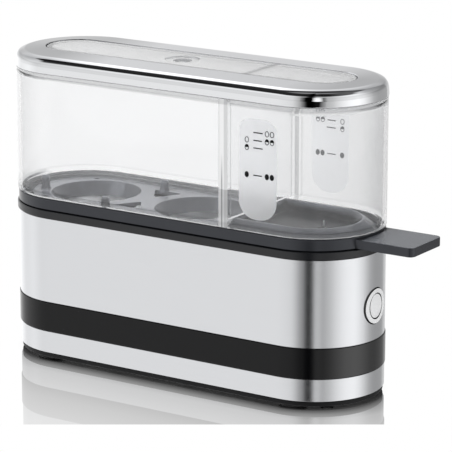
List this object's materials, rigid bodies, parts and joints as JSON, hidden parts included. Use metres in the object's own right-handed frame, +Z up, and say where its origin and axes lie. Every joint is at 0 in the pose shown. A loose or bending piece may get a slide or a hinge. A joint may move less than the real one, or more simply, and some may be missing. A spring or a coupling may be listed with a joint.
{
  "type": "egg boiler",
  "caption": "Compact oblong egg boiler: steel-jacketed heating base with a start button, lift-out egg tray with a handle and piercing dish, and a clear chrome-rimmed hood.",
  "frame": {"origin": "under the middle of the whole outline, handle included, on the plane that the feet stand on", "axes": "+X along the body towards the tray's handle and the start button, +Y to the rear, +Z up; the front faces -Y"},
  "size_m": [0.2256, 0.0674, 0.1506],
  "materials": {
    "black_plastic": "fine satin grain",
    "dark_plastic": "smooth semi-gloss",
    "foot_rubber": "matt",
    "plated_steel": "zinc plated",
    "brushed_steel": "fine horizontal brushing",
    "pan_aluminium": "satin",
    "silicone": "matt translucent",
    "white_plastic": "smooth",
    "satin_metal": "satin",
    "board_green": "coated laminate",
    "lead_sleeve": "silicone sleeve",
    "clear_plastic": "clear, with a frosted panel on each long side",
    "chrome": "polished"
  },
  "bodies": {
    "base": {"base_plate": "black_plastic", "rubber_foot_1": "foot_rubber", "rubber_foot_2": "foot_rubber", "rubber_foot_3": "foot_rubber", "rubber_foot_4": "foot_rubber", "base_screw_1": "plated_steel", "base_screw_2": "plated_steel", "base_screw_3": "plated_steel", "base_screw_4": "plated_steel", "steel_jacket": "brushed_steel", "belt_band": "dark_plastic", "top_frame": "dark_plastic", "heating_pan": "pan_aluminium", "pan_seal": "silicone", "heater_plate": "pan_aluminium", "heating_element": "plated_steel", "thermostat": "white_plastic", "thermal_fuse": "plated_steel", "heater_strap": "plated_steel", "strap_screw_1": "plated_steel", "strap_screw_2": "plated_steel", "button_bezel": "satin_metal", "bezel_nut": "black_plastic", "switch_body": "black_plastic", "control_board": "board_green", "relay": "black_plastic", "buzzer": "black_plastic", "terminal_block": "white_plastic", "cord_gland": "black_plastic", "supply_lead": "lead_sleeve", "heater_lead_1": "lead_sleeve", "heater_lead_2": "lead_sleeve", "earth_lead": "lead_sleeve"},
    "button": {"push_button": "satin_metal", "switch_plunger": "white_plastic"},
    "tray": {"egg_tray": "dark_plastic", "piercing_needle": "satin_metal"},
    "hood": {"hood_shell": "clear_plastic", "hood_partition": "clear_plastic", "chrome_ring": "chrome"}
  },
  "joints": [
    {"name": "button_press", "type": "slide", "parent": "base", "child": "button", "axis": [-1, 0, 0], "range_m": [0, 0.0015], "stiffness_N_per_m": 600},
    {"name": "tray_lift", "type": "slide", "parent": "base", "child": "tray", "axis": [0, 0, 1], "range_m": [0, 0.06]},
    {"name": "hood_lift", "type": "slide", "parent": "tray", "child": "hood", "axis": [0, 0, 1], "range_m": [0, 0.11]}
  ]
}
